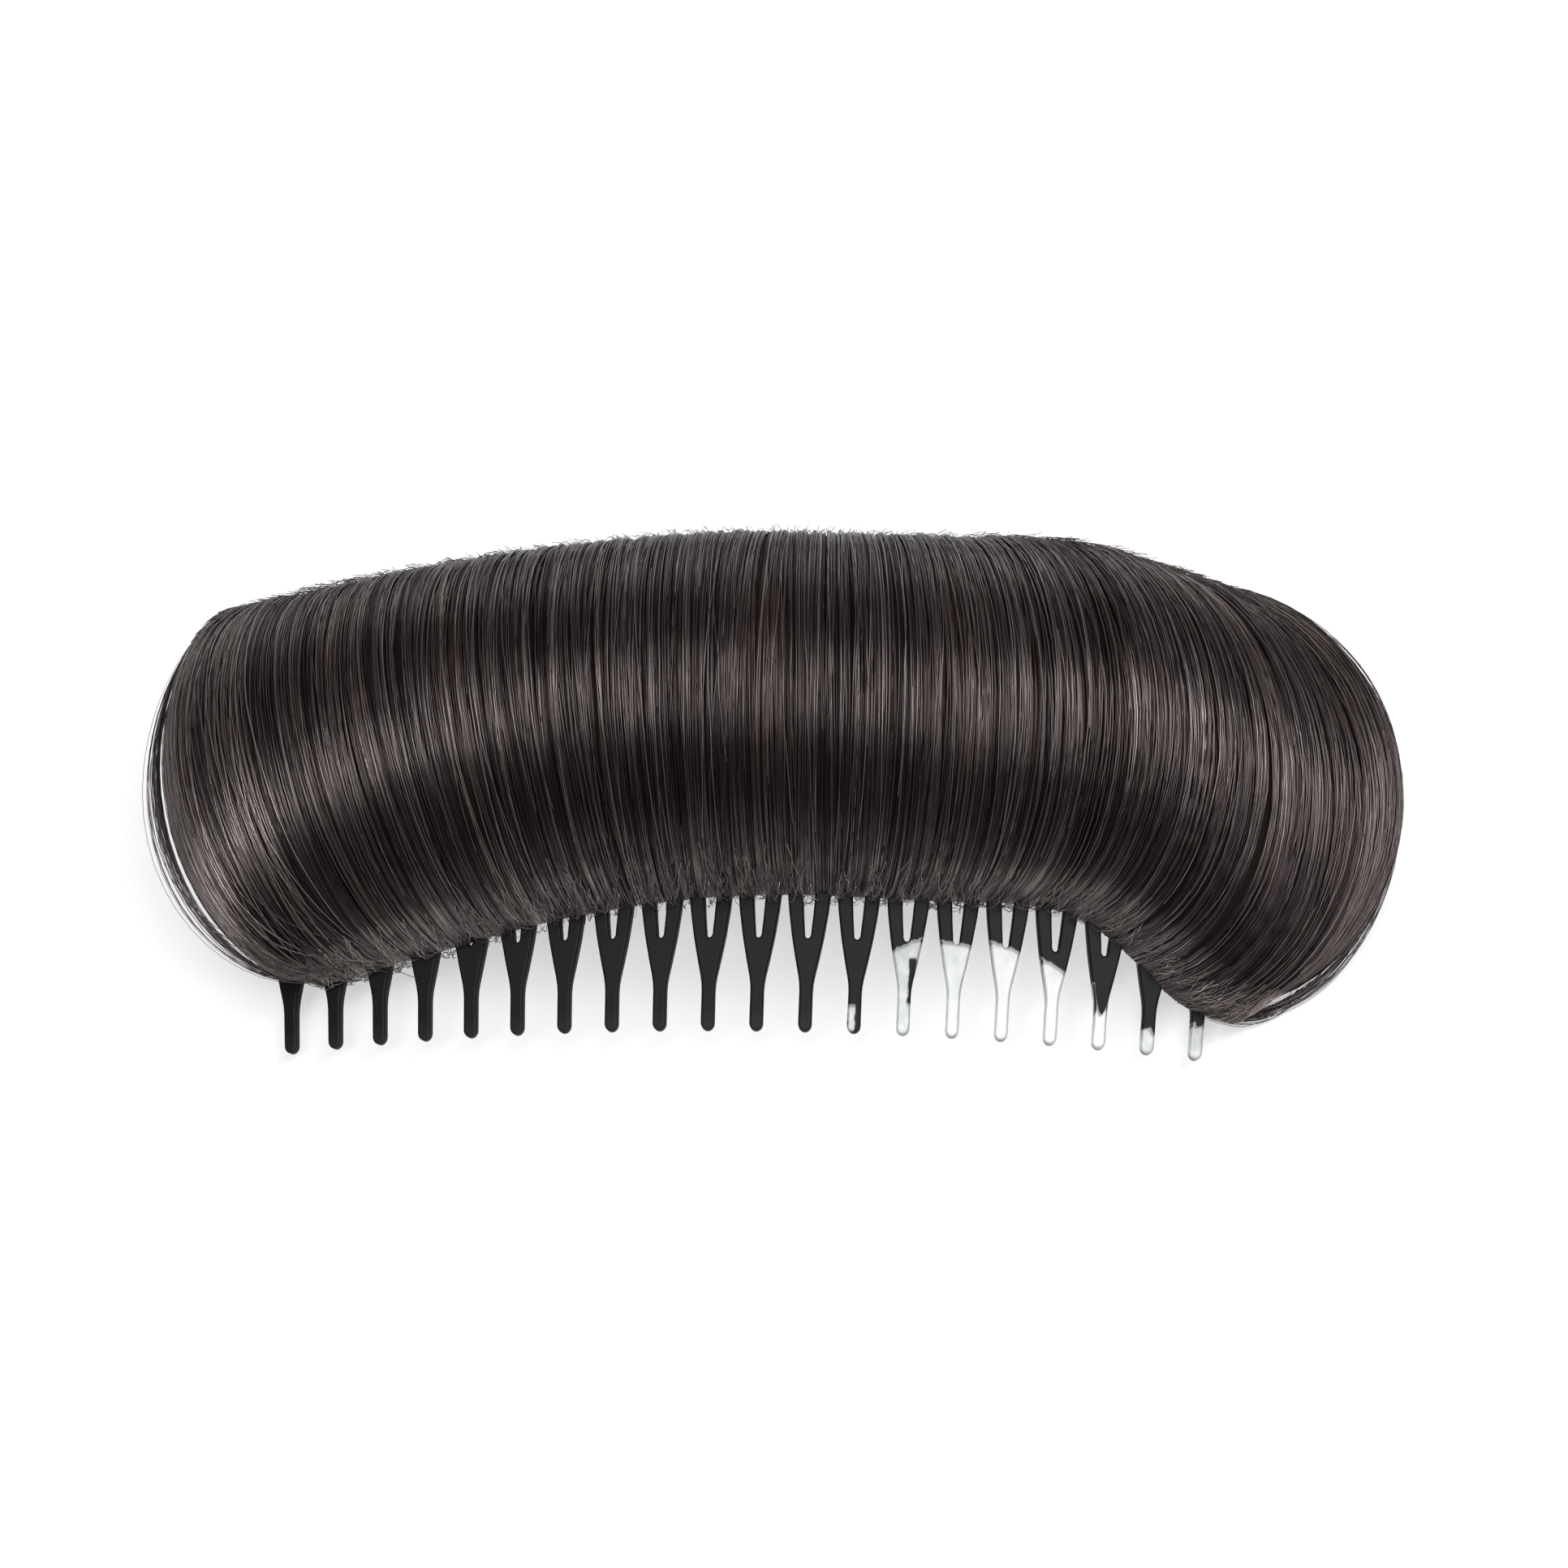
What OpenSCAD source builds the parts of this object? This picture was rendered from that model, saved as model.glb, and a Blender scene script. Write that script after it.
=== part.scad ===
// Volumizing hair insert: a padded roll wound with hair, with a slotted comb along its front.
// Millimetres, +Z up. It lies on z = 0 with the origin under its middle, its length along X
// and its teeth towards -Y.

/* [Roll] */
// Length of the seam where the hair tucks in at the comb, left of the middle
front_seam_left = 49.5; // [45:0.5:53]
// The same seam to the right of the middle
front_seam_right = 56.5; // [53:0.5:60]
// Length of the back gather line, left of the middle
back_seam_left = 63.5; // [58:0.5:66]
// The same line to the right of the middle
back_seam_right = 52; // [48:1:57]
// How far the left end swells past its seams
reach_left = 13.3; // [13:0.1:17]
// How far the right end swells past its seams
reach_right = 24.5; // [23:0.1:28]
// How far the left end swells to the back, less than 0 for the front
swell_left = -4.5; // [-5:0.5:0]
// The same for the right end
swell_right = 3; // [0:0.5:6]
// Thickness of the wound hair
wrap_wall = 3; // [2.5:0.1:4]
// Height of the hair's front seam over the comb's plate
seam_over_comb = 0.5; // [0:0.1:1]

/* [Comb] */
// Number of teeth
tooth_count = 20; // [16:2:20]
// Distance from tooth to tooth
tooth_pitch = 5.86; // [5.6:0.02:5.9]
// Radius of the comb's lengthwise arch
arch_radius = 243; // [220:1:280]
// Angle at which the teeth slope down to the front
tooth_slope = 19; // [16:1:22]
// Distance of the slot ends in front of the roll's middle
slot_end_forward = 26.3; // [25:0.1:28]
// Height of the middle slot ends over the table
slot_end_height = 13.1; // [12.5:0.1:14]
// Length of a tooth past its slot
tip_length = 11.2; // [10:0.1:12]
// Length of the two legs behind the slot's end
leg_length = 8.5; // [8:0.1:10]
// Width of the bar that joins the legs
spine_width = 4; // [3:0.1:5]
// Width over both legs where they leave the bar
leg_span = 5.4; // [5:0.1:5.5]
// Width of a tooth at the end of its slot
shoulder_width = 3.8; // [3.4:0.1:4]
// Width of a tooth's straight tip
tip_width = 1.6; // [1.4:0.1:2]
// Width of the slot where it leaves the bar
slot_width = 2; // [1.6:0.1:2.2]
// Width of the slot's round end
slot_end_width = 0.9; // [0.7:0.1:1]
// Thickness of the plate at the bar
plate_thickness = 1.8; // [1.6:0.1:2.2]
// Thickness at the tips of the teeth
tip_thickness = 1.2; // [1:0.1:1.4]

/* [Fits] */
// Gap between pieces
fit_gap = 0.3; // [0.2:0.05:0.4]

/* [Hidden] */

// Sections of the roll, a row for each, from the left end to the right. They stand on the two seams,
// close together at the ends, where the seams slow down and the section swings out past the end.
// front_y, back_y, back_z: the seams. rise, lean: the crown over the seams' middle, and its shift in y.
// drop, tuck: the underside below that middle, and its shift to the back.
// fan: how far the section has swung out past the end, in degrees.
SECTIONS = [
    // front_y, back_y, back_z, rise, lean, drop, tuck, fan
    [-28.5, 18.0, 20.5, 14.5, -8.0, 21.0, 11.0, 48],
    [-28.5, 17.0, 22.0, 17.5, -4.0, 22.0, 9.5, 38],
    [-26.5, 17.5, 25.0, 18.5, -2.5, 20.5, 8.5, 27],
    [-23.5, 19.0, 28.0, 18.5, -3.0, 17.5, 7.0, 14],
    [-21.5, 20.5, 29.5, 17.5, -4.0, 16.5, 6.0, 0],
    [-21.5, 20.5, 29.0, 16.0, -5.0, 18.5, 7.0, 12],
    [-22.0, 21.0, 27.5, 14.5, -6.5, 21.5, 7.5, 30],
    [-30.5, 19.0, 24.5, 12.5, -7.5, 23.5, 7.0, 46],
    [-31.5, 18.5, 22.0, 12.0, -8.0, 22.5, 6.0, 54],
];
FRONT_Y = 0;
BACK_Y = 1;
BACK_Z = 2;
RISE = 3;
LEAN = 4;
DROP = 5;
TUCK = 6;
FAN = 7;
last_section = len(SECTIONS) - 1;

// Mesh of the wound hair's outside, and of the pad inside it: along the seams, round an end, front to back
skin_mesh = [20, 8, 20];
pad_mesh = [14, 6, 14];

// Where the whole part's middle lies from the comb's middle, along X and along Y
middle_x = 3.7;
middle_y = -7.3;

comb_half_angle = (tooth_count * tooth_pitch / 2) / arch_radius * 180 / PI;
// Turn of the comb's slit past each end of the comb, in degrees
slit_spare_angle = 0.2;
round_tip_at = tip_length - tip_width / 2;
// Distance from the slot's end to where a tooth is down to its tip's width
neck_at = 4.7;
// How far the slit is cut past the front of the roll
past_front = 30;

// Smooth curve through the rows of the table, at t from 0 to the last row. Only fan still turns at the ends.
turning = [0, 0, 0, 0, 0, 0, 0, 1];
function masked(v, mask) = [for (i = [0:len(v) - 1]) v[i] * mask[i]];
function slope(i) =
    i <= 0 ? masked(SECTIONS[1] - SECTIONS[0], turning) :
    i >= last_section ? masked(SECTIONS[last_section] - SECTIONS[last_section - 1], turning) :
    (SECTIONS[i + 1] - SECTIONS[i - 1]) / 2;
function section(t) =
    let (i = min(floor(t), last_section - 1), f = t - i)
    (2 * f ^ 3 - 3 * f ^ 2 + 1) * SECTIONS[i] + (f ^ 3 - 2 * f ^ 2 + f) * slope(i)
    + (3 * f ^ 2 - 2 * f ^ 3) * SECTIONS[i + 1] + (f ^ 3 - f ^ 2) * slope(i + 1);

// Drop of the comb's arch at x, and height of the comb's plate at a point of it
function arch_drop(x) = arch_radius - sqrt(arch_radius ^ 2 - x ^ 2);
function plate_z(x, y) = slot_end_height - arch_drop(x) + (y + slot_end_forward) * tan(tooth_slope);

// The seams at w, from -1 at the left end to 1 at the right end
function seam_x(w, left, right) = sin(90 * w) * (w > 0 ? right : left);
function front_point(w, s) =
    let (x = seam_x(w, front_seam_left, front_seam_right))
    [x, s[FRONT_Y], plate_z(x, s[FRONT_Y]) + seam_over_comb];
function back_point(w, s) = [seam_x(w, back_seam_left, back_seam_right), s[BACK_Y], s[BACK_Z]];

// A lock's swell off its seams: turn is 0 straight up, 90 out past the end and 180 straight down
function swell(w, s, turn) =
    let (side = w > 0 ? 1 : -1, top = turn < 90)
    [side * (w > 0 ? reach_right : reach_left) * sin(turn),
     (w > 0 ? swell_right : swell_left) * sin(turn) + (top ? s[LEAN] : -s[TUCK]) * cos(turn),
     (top ? s[RISE] : s[DROP]) * cos(turn)];

// Points of one lock between its seams, which lie inset under the skin
function inward(v, inset) = v * (1 - inset / norm(v));
function lock(w, turn, inset, steps) =
    let (s = section((w + 1) * last_section / 2),
         front = front_point(w, s), back = back_point(w, s),
         middle = (front + back) / 2,
         half = inward((back - front) / 2, inset),
         out = inward(swell(w, s, turn), inset))
    [for (j = [0:steps]) let (q = 180 * j / steps, p = middle + cos(q) * half + sin(q) * out)
        [p.x, p.y, max(p.z, inset)]];

// The locks in one round: over the top to the right, round the right end, back below, round the left end
function fan_at(w) = section((w + 1) * last_section / 2)[FAN];
function round_of_locks(along, ends) = concat(
    [for (i = [0:along]) let (w = -1 + 2 * i / along) [w, fan_at(w), i]],
    [for (i = [1:ends - 1]) [1, fan_at(1) + (180 - 2 * fan_at(1)) * i / ends, along]],
    [for (i = [0:along]) let (w = 1 - 2 * i / along) [w, 180 - fan_at(w), along - i]],
    [for (i = [1:ends - 1]) [-1, 180 - fan_at(-1) - (180 - 2 * fan_at(-1)) * i / ends, 0]]
);

// A closed solid of the roll's form, inset under its skin all over
module roll(inset, mesh) {
    along = mesh[0];
    steps = mesh[2];
    places = round_of_locks(along, mesh[1]);
    count = len(places);
    locks = [for (p = places) lock(p[0], p[1], inset, steps)];
    inner = steps - 1;
    backs = count * inner;
    fronts = backs + along + 1;
    points = concat(
        [for (l = locks) for (j = [1:inner]) l[j]],
        [for (i = [0:along]) locks[i][0]],
        [for (i = [0:along]) locks[i][steps]]
    );
    faces = [for (i = [0:count - 1])
        let (n = (i + 1) % count, a = i * inner, b = n * inner, p = places[i][2], r = places[n][2])
        each concat(
            [for (j = [0:inner - 2]) each [[a + j, b + j, b + j + 1], [a + j, b + j + 1, a + j + 1]]],
            [[backs + p, b, a], [fronts + p, a + inner - 1, b + inner - 1]],
            p == r ? [] : [[backs + p, backs + r, b], [fronts + p, b + inner - 1, fronts + r]]
        )];
    polyhedron(points, faces);
}

// Brings the part's middle over the origin
module centred() {
    translate([-middle_x, -middle_y, 0])
        children();
}

// Carries a shape from the flat plate's place to the arch, turned round the arch's axis
module on_arch(angle) {
    translate([0, -slot_end_forward, slot_end_height - arch_radius])
        rotate([0, angle, 0])
            translate([0, 0, arch_radius])
                rotate([tooth_slope, 0, 0])
                    children();
}

// An arched strip of the comb's plate, from one distance to another along the teeth
module arched_strip(from, to, thickness, half_angle) {
    half = thickness / 2;
    strip = [for (p = [[from, -half], [to, -half], [to, half], [from, half]])
        [arch_radius - p.x * sin(tooth_slope) + p.y * cos(tooth_slope),
         p.x * cos(tooth_slope) + p.y * sin(tooth_slope)]];
    translate([0, -slot_end_forward, slot_end_height - arch_radius])
        rotate([90, 0, 0])
            rotate([0, 0, 90 - half_angle])
                rotate_extrude(angle = 2 * half_angle, $fn = 360)
                    polygon(strip);
}

// Outline of a tooth, its slot's end at the origin and its tip along +x
module tooth_outline() {
    difference() {
        union() {
            polygon([
                [-leg_length - 1, -leg_span / 2], [0, -shoulder_width / 2],
                [neck_at, -tip_width / 2], [round_tip_at, -tip_width / 2],
                [round_tip_at, tip_width / 2], [neck_at, tip_width / 2],
                [0, shoulder_width / 2], [-leg_length - 1, leg_span / 2]
            ]);
            translate([round_tip_at, 0])
                circle(d = tip_width, $fn = 32);
        }
        translate([-slot_end_width / 2, 0])
            circle(d = slot_end_width, $fn = 32);
        polygon([
            [-leg_length, -slot_width / 2], [-slot_end_width / 2, -slot_end_width / 2],
            [-slot_end_width / 2, slot_end_width / 2], [-leg_length, slot_width / 2]
        ]);
    }
}

// A tooth, cut to a thickness that tapers to its tip
module tooth() {
    tall = 2 * plate_thickness;
    rotate([0, 0, -90])
        intersection() {
            translate([0, 0, -tall / 2])
                linear_extrude(tall)
                    tooth_outline();
            rotate([90, 0, 0])
                translate([0, 0, -leg_span])
                    linear_extrude(2 * leg_span)
                        polygon([
                            [-leg_length - 1, -plate_thickness / 2], [0, -plate_thickness / 2],
                            [tip_length + 1, -tip_thickness / 2], [tip_length + 1, tip_thickness / 2],
                            [0, plate_thickness / 2], [-leg_length - 1, plate_thickness / 2]
                        ]);
        }
}

// The room that the comb takes out of the roll
module comb_slit() {
    arched_strip(-leg_length - spine_width - fit_gap, tip_length + past_front,
        plate_thickness + 2 * fit_gap, comb_half_angle + slit_spare_angle);
}

// Hair wound round the pad in one layer, open where the comb comes out
module hair_wrap() {
    color([0.16, 0.12, 0.11])
        centred()
            difference() {
                roll(0, skin_mesh);
                roll(wrap_wall, pad_mesh);
                comb_slit();
            }
}

// Soft pad that the hair is wound on, with a slit for the comb's bar
module pad_core() {
    color([0.10, 0.09, 0.09])
        centred()
            difference() {
                roll(wrap_wall + fit_gap, pad_mesh);
                comb_slit();
            }
}

// Slotted comb: an arched bar with a tooth of two legs for each pitch
module comb() {
    color([0.12, 0.13, 0.14])
        centred()
            union() {
                arched_strip(-leg_length - spine_width, -leg_length, plate_thickness, comb_half_angle);
                for (i = [0:tooth_count - 1])
                    on_arch((i - (tooth_count - 1) / 2) * tooth_pitch / arch_radius * 180 / PI)
                        tooth();
            }
}

hair_wrap();
pad_core();
comb();
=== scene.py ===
import math

import bmesh
import bpy
import numpy as np
from mathutils import Matrix, Vector


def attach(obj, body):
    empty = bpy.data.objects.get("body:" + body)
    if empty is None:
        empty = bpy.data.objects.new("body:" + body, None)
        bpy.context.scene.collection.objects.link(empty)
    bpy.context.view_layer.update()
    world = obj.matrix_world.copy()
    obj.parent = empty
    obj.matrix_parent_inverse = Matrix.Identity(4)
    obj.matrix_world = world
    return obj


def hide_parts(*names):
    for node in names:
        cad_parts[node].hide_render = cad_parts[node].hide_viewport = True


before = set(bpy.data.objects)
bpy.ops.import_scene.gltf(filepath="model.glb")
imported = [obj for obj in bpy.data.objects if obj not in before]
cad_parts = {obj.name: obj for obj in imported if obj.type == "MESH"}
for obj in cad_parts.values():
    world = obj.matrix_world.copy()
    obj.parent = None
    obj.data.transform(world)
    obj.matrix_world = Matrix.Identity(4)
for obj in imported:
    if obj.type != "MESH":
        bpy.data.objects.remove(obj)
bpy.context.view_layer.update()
mm = 0.001
print("frame loaded:", sorted(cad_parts))


# The photograph's view, found from the comb's teeth: millimetres, degrees and pixels of its frame
photoView = {
    "lookAt": (-3.7, 7.3, 13.1),
    "lookAtPixel": (922, 932),
    "frameSize": 1932,
    "pixelsPerMm": 10.0,
    "distance": 450.0,
    "azimuth": 11.4,
    "elevation": 55.0,
    "roll": -9.5,
    "sensor": 36.0,
    "clipStart": 0.01,       # metres
}


def makeCamera():
    azimuth = math.radians(photoView["azimuth"])
    elevation = math.radians(photoView["elevation"])
    roll = math.radians(photoView["roll"])
    flat = math.cos(elevation)
    back = Vector((math.sin(azimuth) * flat, -math.cos(azimuth) * flat, math.sin(elevation)))
    level = Vector((math.cos(azimuth), math.sin(azimuth), 0))
    upright = back.cross(level)
    right = level * math.cos(roll) + upright * math.sin(roll)
    up = upright * math.cos(roll) - level * math.sin(roll)
    data = bpy.data.cameras.new("photoCamera")
    size = photoView["frameSize"]
    data.sensor_width = photoView["sensor"]
    data.lens = photoView["pixelsPerMm"] * photoView["distance"] / size * photoView["sensor"]
    data.shift_x = (size / 2 - photoView["lookAtPixel"][0]) / size
    data.shift_y = (photoView["lookAtPixel"][1] - size / 2) / size
    data.clip_start = photoView["clipStart"]
    camera = bpy.data.objects.new("photoCamera", data)
    bpy.context.scene.collection.objects.link(camera)
    place = (Vector(photoView["lookAt"]) + back * photoView["distance"]) * mm
    camera.matrix_world = Matrix.Translation(place) @ Matrix((right, up, back)).transposed().to_4x4()
    bpy.context.scene.camera = camera


makeCamera()
print("camera placed")


# The roll's form, in millimetres and degrees, as in the part's source. Pairs are for the left and the
# right end.
rollForm = {
    "middle": (3.7, -7.3),
    "frontSeam": (49.5, 56.5),
    "backSeam": (63.5, 52.0),
    "reach": (13.3, 24.5),
    "swell": (-4.5, 3.0),
    "archRadius": 243.0,
    "toothSlope": 19.0,
    "slotEndForward": 26.3,
    "slotEndHeight": 13.1,
    "seamOverComb": 0.5,
    # frontY, backY, backZ, rise, lean, drop, tuck, fan: a row for each section, from left to right
    "sections": (
        (-28.5, 18.0, 20.5, 14.5, -8.0, 21.0, 11.0, 48.0),
        (-28.5, 17.0, 22.0, 17.5, -4.0, 22.0, 9.5, 38.0),
        (-26.5, 17.5, 25.0, 18.5, -2.5, 20.5, 8.5, 27.0),
        (-23.5, 19.0, 28.0, 18.5, -3.0, 17.5, 7.0, 14.0),
        (-21.5, 20.5, 29.5, 17.5, -4.0, 16.5, 6.0, 0.0),
        (-21.5, 20.5, 29.0, 16.0, -5.0, 18.5, 7.0, 12.0),
        (-22.0, 21.0, 27.5, 14.5, -6.5, 21.5, 7.5, 30.0),
        (-30.5, 19.0, 24.5, 12.5, -7.5, 23.5, 7.0, 46.0),
        (-31.5, 18.5, 22.0, 12.0, -8.0, 22.5, 6.0, 54.0),
    ),
}
seamStep = 0.002         # along the roll, from a lock to each point that gives the way across it
seamMargin = 0.5         # degrees from a seam where that is taken, since locks meet at the ends' seams


def sectionAt(w):
    rows = np.array(rollForm["sections"])
    last = len(rows) - 1
    slopes = np.zeros_like(rows)
    slopes[1:-1] = (rows[2:] - rows[:-2]) / 2
    slopes[0, -1] = rows[1, -1] - rows[0, -1]         # only fan still turns at the ends
    slopes[last, -1] = rows[last, -1] - rows[last - 1, -1]
    t = np.clip((np.asarray(w, float) + 1) * last / 2, 0, last)
    i = np.minimum(t.astype(int), last - 1)
    f = (t - i)[:, None]
    return ((2 * f**3 - 3 * f**2 + 1) * rows[i] + (f**3 - 2 * f**2 + f) * slopes[i]
            + (3 * f**2 - 2 * f**3) * rows[i + 1] + (f**3 - f**2) * slopes[i + 1])


def archDrop(x):
    return rollForm["archRadius"] - np.sqrt(rollForm["archRadius"] ** 2 - x**2)


def plateZ(x, y):
    slope = math.tan(math.radians(rollForm["toothSlope"]))
    return rollForm["slotEndHeight"] - archDrop(x) + (y + rollForm["slotEndForward"]) * slope


def roundPlace(s):
    # s runs once round the roll: 0 to 1 over the top, 1 to 2 at the right end, 2 to 3 below and 3 to 4
    # at the left end
    s = np.mod(s, 4)
    part = np.floor(s)
    f = s - part
    w = np.select([part == 0, part == 1, part == 2], [2 * f - 1, 1 + 0 * f, 1 - 2 * f], -1)
    fan = sectionAt(w)[:, -1]
    turn = np.select([part == 0, part == 1, part == 2],
                     [fan, fan + (180 - 2 * fan) * f, 180 - fan], 180 - fan - (180 - 2 * fan) * f)
    return w, turn


def lockPoints(s, q, inset=0.0):
    # Points of the locks at s, each from the back seam at q 0 to the front seam at q 180. q is one row
    # for all locks, or a row for each.
    w, turn = roundPlace(np.asarray(s, float))
    frontY, backY, backZ, rise, lean, drop, tuck, _ = sectionAt(w).T
    right = w > 0

    def pick(name):
        atLeft, atRight = rollForm[name]
        return np.where(right, atRight, atLeft)

    ease = np.sin(np.radians(90 * w))
    frontX = ease * pick("frontSeam")
    front = np.stack([frontX, frontY, plateZ(frontX, frontY) + rollForm["seamOverComb"]], -1)
    back = np.stack([ease * pick("backSeam"), backY, backZ], -1)
    side = np.where(right, 1, -1)
    sine, cosine = np.sin(np.radians(turn)), np.cos(np.radians(turn))
    top = turn < 90
    out = np.stack([side * pick("reach") * sine,
                    pick("swell") * sine + cosine * np.where(top, lean, -tuck),
                    cosine * np.where(top, rise, drop)], -1)
    half = (back - front) / 2
    half = half * (1 - inset / np.linalg.norm(half, axis=1))[:, None]
    out = out * (1 - inset / np.linalg.norm(out, axis=1))[:, None]
    q = np.radians(np.atleast_2d(np.asarray(q, float)))[..., None]
    points = ((front + back) / 2)[:, None] + np.cos(q) * half[:, None] + np.sin(q) * out[:, None]
    points[..., 0] -= rollForm["middle"][0]
    points[..., 1] -= rollForm["middle"][1]
    return points


def woundPoints(s, q):
    # As lockPoints, but a q below 0 is past the back seam, on the lock below
    above = lockPoints(s, np.maximum(q, 0))
    below = lockPoints(3 - s, np.maximum(-q, 0))
    return np.where(q[..., None] < 0, below, above)


def lockFrames(s, q):
    # The points, the way across the strands as long as it is at mid-lock, and the way out of the surface
    inner = np.where(np.abs(q) < seamMargin, seamMargin, np.minimum(q, 180 - seamMargin))
    across = woundPoints(s + seamStep, inner) - woundPoints(s - seamStep, inner)
    middle = lockPoints(s + seamStep, 90) - lockPoints(s - seamStep, 90)
    outward = np.cross(across, woundPoints(s, inner + 1) - woundPoints(s, inner - 1))
    centre = lockPoints(s, (0, 180)).mean(axis=1, keepdims=True)
    outward *= np.sign((outward * (woundPoints(s, inner) - centre)).sum(-1, keepdims=True))
    outward /= np.maximum(np.linalg.norm(outward, axis=-1, keepdims=True), 1e-9)
    return woundPoints(s, q), across / np.linalg.norm(middle, axis=-1, keepdims=True), outward


def evenPlaces(start, end, spacing, samples=600):
    # Places from start to end on the round whose mid-lock points stand spacing apart
    s = np.linspace(start, end, samples)
    line = lockPoints(s, 90)[:, 0]
    run = np.concatenate([[0], np.cumsum(np.linalg.norm(np.diff(line, axis=0), axis=1))])
    count = max(2, int(run[-1] / spacing))
    return np.interp((np.arange(count) + 0.5) / count * run[-1], run, s)


# Helpers for nodes and meshes

def nodeMaker(tree):
    def make(kind, inputs=None, **settings):
        node = tree.nodes.new(kind)
        for name, value in settings.items():
            setattr(node, name, value)
        for name, value in (inputs or {}).items():
            shown = [i for i in node.inputs if i.enabled]
            socket = shown[name] if isinstance(name, int) else next(i for i in shown if i.name == name)
            if isinstance(value, bpy.types.NodeSocket):
                tree.links.new(value, socket)
            else:
                socket.default_value = value
        return node
    return make


def firstOut(node):
    return next(o for o in node.outputs if o.enabled)


def sums(make):
    # Short forms for arithmetic in a node tree
    def number(operation, a, b=0.0):
        inputs = {0: a} if operation in ("SINE", "COSINE", "ABSOLUTE") else {0: a, 1: b}
        return make("ShaderNodeMath", inputs, operation=operation).outputs[0]

    def plus(a, b):
        return number("ADD", a, b)

    def minus(a, b):
        return number("SUBTRACT", a, b)

    def times(a, b):
        return number("MULTIPLY", a, b)

    return number, plus, minus, times


def fieldForms(make):
    # Short forms for a point, for noise at a place, and for a value that eases from start to end
    def point(x, y, z):
        return make("ShaderNodeCombineXYZ", {0: x, 1: y, 2: z}).outputs[0]

    def noise(place, scale, detail, output="Fac"):
        inputs = {"Vector": place, "Scale": scale, "Detail": detail}
        return make("ShaderNodeTexNoise", inputs).outputs[output]

    def smooth(value, low, high, start=0.0, end=1.0):
        inputs = {"Value": value, "From Min": low, "From Max": high, "To Min": start, "To Max": end}
        return make("ShaderNodeMapRange", inputs, interpolation_type="SMOOTHSTEP").outputs[0]

    return point, noise, smooth


socketKinds = {int: "NodeSocketInt", float: "NodeSocketFloat", type(None): "NodeSocketMaterial"}


def newGeometryTree(name, inputs):
    # Inputs are counts where their value is a whole number, measures, or a material where it is None
    tree = bpy.data.node_groups.new(name, "GeometryNodeTree")
    tree.interface.new_socket("Geometry", in_out="INPUT", socket_type="NodeSocketGeometry")
    tree.interface.new_socket("Geometry", in_out="OUTPUT", socket_type="NodeSocketGeometry")
    for label, value in inputs.items():
        socket = tree.interface.new_socket(label, in_out="INPUT", socket_type=socketKinds[type(value)])
        if value is not None:
            socket.default_value = value
    return tree


def applyModifier(piece, modifier):
    graph = bpy.context.evaluated_depsgraph_get()
    before = piece.data
    after = bpy.data.meshes.new_from_object(piece.evaluated_get(graph), preserve_all_data_layers=True,
                                            depsgraph=graph)
    piece.modifiers.remove(modifier)
    piece.data = after
    after.name = piece.name
    bpy.data.meshes.remove(before)


def runGeometryTree(piece, tree, values):
    modifier = piece.modifiers.new(tree.name, "NODES")
    modifier.node_group = tree
    for item in tree.interface.items_tree:
        if item.item_type == "SOCKET" and item.in_out == "INPUT" and item.name in values:
            modifier[item.identifier] = values[item.name]
    applyModifier(piece, modifier)


def setField(mesh, name, values):
    # Numbers, or vectors where the values have a third axis, as an attribute of the mesh's points
    numbers = np.ascontiguousarray(values, np.float32)
    vectors = numbers.ndim == 3
    layer = mesh.attributes.new(name, "FLOAT_VECTOR" if vectors else "FLOAT", "POINT")
    layer.data.foreach_set("vector" if vectors else "value", numbers.ravel())


def closeMesh(builder, mesh):
    bmesh.ops.recalc_face_normals(builder, faces=builder.faces)
    builder.to_mesh(mesh)
    builder.free()


def linkedPiece(name, mesh):
    piece = bpy.data.objects.new(name, mesh)
    bpy.context.scene.collection.objects.link(piece)
    return piece


def finishPiece(piece):
    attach(piece, "root")
    print("  ", piece.name, len(piece.data.polygons), "faces")


# Materials

# Hair's colours are rows of a place on the scale from dark to light and the colour there
hairLook = {
    "warm": ((0.0, (0.0026, 0.0013, 0.0013)), (0.15, (0.0064, 0.0033, 0.0032)),
             (0.33, (0.0165, 0.0089, 0.0082)), (0.6, (0.036, 0.0228, 0.0198)),
             (1.0, (0.090, 0.068, 0.058))),
    "cool": ((0.0, (0.0022, 0.0014, 0.0020)), (0.15, (0.0053, 0.0034, 0.0049)),
             (0.33, (0.0130, 0.0091, 0.0122)), (0.6, (0.030, 0.026, 0.0295)),
             (1.0, (0.078, 0.075, 0.078))),
    "shine": (0.10, 1.45),   # specular level of the darkest strands, and what lighter ones add
    # A silky coated hair mirrors more than bare hair, so its IOR is higher
    "surface": {"Roughness": 0.29, "IOR": 1.6, "Specular Tint": (1.0, 0.84, 0.82, 1)},
}

# The hair below the strands: how often its fine and broad streaks change across it and along it
woundLook = {
    "fine": (9.0, 0.25, 1.0),
    "broad": (1.6, 0.05, 1.0),
    "colours": ((0.3, (0.002, 0.0012, 0.0013)), (0.5, (0.005, 0.003, 0.003)),
                (0.7, (0.012, 0.0075, 0.0075))),
    "bump": (0.5, 0.0003),   # strength, metres
    "surface": {"Roughness": 0.7, "Specular IOR Level": 0.1, "Specular Tint": (1.0, 0.84, 0.82, 1)},
}


def newMaterial(name, surface):
    material = bpy.data.materials.new(name)
    material.use_nodes = True
    tree = material.node_tree
    shader = tree.nodes["Principled BSDF"]
    for label, value in surface.items():
        shader.inputs[label].default_value = value
    return material, tree, nodeMaker(tree), shader


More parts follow.
